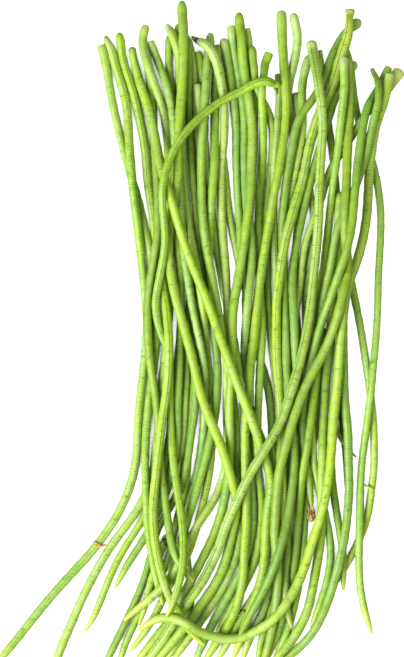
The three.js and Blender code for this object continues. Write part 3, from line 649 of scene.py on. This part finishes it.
def podColours(rng, s, fromSeam, marks):
    # the values that podMaterial reads for its colours; those that only change along the pod are columns
    ends, yellows, tips = podEnds, podTints["yellow"], podTints["tip"]
    at, fromTip = s[:, None], (s[-1] - s)[:, None]
    slow = waves(rng, s, yellows["wave"])[:, None]
    yellow = marks.get("yellow", rng.uniform(*yellows["usual"])) + slow
    yellow = yellow + patches(rng, s, fromSeam, yellows["patch"])
    pale = tint(rng, s, fromSeam, marks, "pale") + marks.get("paleEnd", 0.0) * fade(at, ends["paleFade"])
    cool = tint(rng, s, fromSeam, marks, "cool")
    tip = ease(1 - fromTip / tips["run"]) * rng.uniform(*tips["usual"])
    tip = tip + marks.get("gold", 0.0) * fade(at, ends["goldFade"])
    dryRun = marks.get("dryRun", ends["dryRun"]) * mm + patches(rng, s, fromSeam, ends["ragged"])
    dry = marks.get("dry", 0.0) * ease((dryRun - at) / ends["dryEdge"] + 0.5)  # half dry at dryRun
    dry = dry + ends["dryTip"] * ease(1 - fromTip / ends["dryTipRun"])
    tone = marks.get("tone", ends["tone"]) + patches(rng, s, fromSeam, ends["tonePatch"])
    papery = marks.get("papery", 0.0)
    tone = tone + papery * ends["paperTone"] * ease((ends["paperAt"] - at) / ends["paperRun"])
    tone = tone - papery * ends["rimTone"] * ease((at - ends["rimAt"]) / ends["rimRun"])
    # painted shade: the dark mark for a pod that lies in shade, plus painted shade over the stem end's dome
    capShaded = marks.get("end", podForm["end"]) in ends["capShadedEnds"]
    capShade = marks.get("capShade", ends["capShade"] if capShaded else 0.0)
    dark = marks.get("dark", 0.0) + capShade * fade(at, (1, marks.get("capShadeRun", ends["capShadeRun"]) * mm))
    brownSeam = marks.get("brownSeam", 0.0) * fade(at, ends["brownFade"])
    return {
        "yellow": np.clip(yellow, 0, 1), "pale": np.clip(pale, 0, 1), "cool": np.clip(cool, 0, 1),
        "dark": dark, "tone": np.clip(tone, 0, 1), "brownSeam": brownSeam, "tip": tip,
        "dry": np.clip(dry, 0, 1),
    }


def liftOf(lowest):
    # how far each ring has to rise to clear the ground: the largest need within liftReach rings, averaged
    reach = podForm["liftReach"]
    window, count = np.lib.stride_tricks.sliding_window_view, 2 * reach + 1
    need = window(np.pad(np.maximum(-lowest, 0), 2 * reach, mode="edge"), count).max(axis=1)
    return window(need, count).mean(axis=1)


def makePod(number, node, material):
    # radius = body * swell * width * (1 + seed lumps and slow waver + slight oval) - creases - furrow
    # - split, and then a ring that would sink into the ground is lifted out of it
    form, marks = podForm, podMarks[number]
    rng = np.random.default_rng(form["seed"] + number)
    s, line, body = podLine(rng, node, marks)
    along, side, over = axesAlong(line)
    facing = marks.get("seam", rng.uniform(0, fullTurn))
    wander = drift(rng, s, form["twistRun"])
    if "seam" in marks:
        wander = wander - wander[0]
    half = np.array(form["columns"], float)
    fromSeam = np.radians(np.concatenate([half, half + 180]))
    turn = (facing + form["twist"] * wander)[:, None] + fromSeam[None, :]
    even = ease(s / form["evenStem"]) * ease((s[-1] - s) / form["evenTip"])
    seeds = form["seedLump"] * np.sin(fullTurn * s / form["seedPitch"] + waves(rng, s, form["seedWave"]))
    lumps = (seeds + waves(rng, s, form["waver"])) * even
    oval = form["oval"] * np.cos(2 * fromSeam)[None, :]
    creases = podCreases(rng, s, fromSeam, turn)
    seamDepth = form["facingSeam"] if "seam" in marks else rng.uniform(*form["usualSeam"])
    furrow = np.exp(-(np.sin(fromSeam) / form["seamSpread"]) ** 2)[None, :] * even[:, None]
    furrow = form["seamDepth"] * (form["seamLeast"] + (1 - form["seamLeast"]) * seamDepth) * furrow
    split = np.exp(-(np.sin(fromSeam) / form["splitSpread"]) ** 2)[None, :]
    split = split * fade(s, form["splitFade"])[:, None]
    radius = body * form["swell"] * podWidth(s, marks)[:, None] * (1 + lumps[:, None] + oval)
    radius = radius - podCrease["depth"] * creases - furrow
    radius = radius - marks.get("split", 0.0) * form["splitDepth"] * split
    squeeze = 1 - marks.get("flat", 0.0) * fade(s, form["flatFade"])
    grid = ringsRound(line, side, over, radius, turn, squeeze[:, None])
    lift = np.column_stack([0 * s, 0 * s, liftOf(grid[..., 2].min(axis=1))])
    grid, line = grid + lift[:, None], line + lift
    stemOut, tipOut = form["poleOut"]
    mesh = tubeMesh("pod_%02d" % number, grid, line[0] - along[0] * stemOut, line[-1] + along[-1] * tipOut)
    values = podColours(rng, s, fromSeam, marks)
    # the crease field dents the skin and also carries the painted shade in the creases
    values.update(crease=creases, seam=np.sin(fromSeam)[None, :], seamDepth=(seamDepth * even)[:, None])
    for name, value in values.items():
        first, last = podPoles[name]
        if name in ("dark", "dry"):
            first = marks.get(name, first)
        addValues(mesh, name, np.broadcast_to(value, radius.shape), first, last)
    pod = newPiece("pod_%02d" % number, mesh, material)
    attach(pod, "root")
    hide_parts(node.name)


# small pieces: dried twigs, papers and stubs

# route is (x, y, z) in mm, width the radius in mm at even steps along it, tone 0 dark brown to 1 tan (or
# green), folds how many run along it and how deep they are
scraps = {
    "twigLong": dict(
        route=((-87.6, -170.2, 7.0), (-85.0, -172.0, 8.3), (-82.3, -173.5, 7.6), (-78.0, -173.5, 5.6),
               (-74.4, -175.1, 4.4)),
        width=(0.5, 1.15, 0.95, 0.8, 0.5), tone=0.9, folds=(3, 0.2)),
    "twigShort": dict(
        route=((-87.4, -172.6, 6.4), (-84.6, -174.2, 8.0), (-81.4, -174.4, 7.2), (-78.4, -173.6, 5.8)),
        width=(0.5, 1.05, 0.9, 0.4), tone=0.7, folds=(3, 0.25)),
    "flowerPaper": dict(
        route=((97.0, -143.6, 7.6), (97.8, -147.0, 6.9), (98.4, -150.6, 6.0), (98.1, -153.8, 5.2)),
        width=(1.0, 2.5, 3.3, 2.7, 0.6), tone=0.62, folds=(5, 0.30)),
    "flowerThreadA": dict(
        route=((95.0, -138.2, 8.4), (96.0, -141.6, 8.6), (97.3, -145.2, 8.2)),
        width=(0.25, 0.6, 0.8), tone=1.0, folds=(2, 0.3)),
    "flowerThreadB": dict(
        route=((100.3, -140.2, 7.2), (99.9, -143.2, 7.6), (98.6, -146.6, 7.8)),
        width=(0.25, 0.65, 0.7), tone=0.9, folds=(2, 0.3)),
    "flowerThreadC": dict(
        route=((101.4, -143.0, 6.6), (100.9, -146.0, 7.0), (100.4, -149.0, 6.6)),
        width=(0.2, 0.6, 0.6), tone=0.2, folds=(2, 0.3)),
    "driedCup": dict(
        route=((-27.0, -166.6, 12.0), (-25.6, -168.6, 12.0), (-24.2, -171.0, 11.4), (-23.4, -174.2, 10.6)),
        width=(2.2, 3.4, 3.3, 1.4), tone=0.08, folds=(5, 0.24)),
    "hookStub": dict(
        route=((34.4, -234.9, 7.4), (37.6, -232.0, 8.1), (40.4, -230.4, 8.2), (42.9, -231.3, 7.8)),
        width=(0.7, 1.2, 1.25, 0.6), tone=0.15, folds=(3, 0.12), green=True),
    "footStalk": dict(
        route=((66.4, 219.6, 9.2), (67.7, 215.6, 8.4), (69.3, 211.8, 7.6)),
        width=(1.3, 1.2, 0.6), tone=0.3, folds=(3, 0.1), green=True),
    "greenStub": dict(
        route=((143.4, -121.7, 6.6), (147.2, -123.7, 7.6), (151.8, -126.1, 7.6)),
        width=(0.8, 1.05, 0.7), tone=0.9, folds=(3, 0.08), green=True),
}

scrapForm = {
    "step": 0.4 * mm, "columns": 16, "poleOut": 0.1 * mm,
    "foldWave": (2.0, 3 * mm), "roughPatch": (0.12, 1.0 * mm, 8), "tonePatch": (0.35, 2.5 * mm, 5),
    "seed": 3, "seedStep": 7,               # a piece's seed grows with its name's length
}

scrapSkin = {
    "dark": (0.040, 0.026, 0.012), "tan": (0.540, 0.320, 0.110), "vein": (0.110, 0.062, 0.022),
    "greenDark": (0.120, 0.190, 0.014), "greenPale": (0.330, 0.430, 0.030),
    "roughness": 0.78, "specular": 0.2,
    "patchScale": 420.0, "patchDetail": 3.0, "patchTone": (0.3, 0.7, -0.4, 0.4),
    "veinScale": 1500.0, "veinDetail": 2.0, "veinShare": (0.5, 0.75, 0.0, 0.6),
}


def scrapMaterial(name, dark, light):
    # colour goes from dark to light with the piece's tone, which holds painted shade in the grooves of its
    # folds, shifted by patches, with fine veins over it
    material, tree, shader = newMaterial(name)
    look = scrapSkin
    patch = remap(tree, noiseOn(tree, look["patchScale"], look["patchDetail"]), look["patchTone"])
    colour = colourMix(tree, numberMath(tree, "ADD", readValue(tree, "tone"), patch, True), dark, light)
    vein = remap(tree, noiseOn(tree, look["veinScale"], look["veinDetail"]), look["veinShare"])
    tree.links.new(colourMix(tree, vein, colour, look["vein"]), shader.inputs["Base Color"])
    feed(tree, look["roughness"], shader.inputs["Roughness"])
    feed(tree, look["specular"], shader.inputs["Specular IOR Level"])
    return material


def makeScrap(name, material):
    # radius = width * (1 + folds + a little roughness), with folds = depth * cos(count * turn + drift)
    form, scrap = scrapForm, scraps[name]
    rng = np.random.default_rng(len(name) * form["seedStep"] + form["seed"])
    s, line = smoothRoute(np.array(scrap["route"]) * mm, form["step"])
    along, side, over = axesAlong(line)
    turn = np.linspace(0, fullTurn, form["columns"], endpoint=False)
    width = np.interp(s / s[-1], np.linspace(0, 1, len(scrap["width"])), scrap["width"]) * mm
    count, depth = scrap["folds"]
    folds = depth * np.cos(count * turn[None, :] + waves(rng, s, form["foldWave"])[:, None])
    radius = width[:, None] * (1 + folds + patches(rng, s, turn, form["roughPatch"]))
    grid = ringsRound(line, side, over, radius, turn)
    out = form["poleOut"]
    mesh = tubeMesh(name, grid, line[0] - along[0] * out, line[-1] + along[-1] * out)
    tone = scrap["tone"]
    # painted shade: the folds darken the tone in their grooves and lighten it on their ridges, over the
    # piece's own tone patches
    shade = np.clip(tone + patches(rng, s, turn, form["tonePatch"]) + folds, 0, 1)
    addValues(mesh, "tone", shade, tone, tone)
    piece = newPiece(name, mesh, material)
    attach(piece, "root")


def makeScraps():
    dried = scrapMaterial("driedSkin", scrapSkin["dark"], scrapSkin["tan"])
    green = scrapMaterial("stubSkin", scrapSkin["greenDark"], scrapSkin["greenPale"])
    for name, scrap in scraps.items():
        if scrap.get("green", False):
            makeScrap(name, green)
        else:
            makeScrap(name, dried)
    print("small pieces ready:", len(scraps))


makeStudio()
skin = podMaterial("podSkin")
for number in range(1, len(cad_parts) + 1):
    makePod(number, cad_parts["bean_%02d" % number], skin)
print("pods ready:", len(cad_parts))
makeScraps()
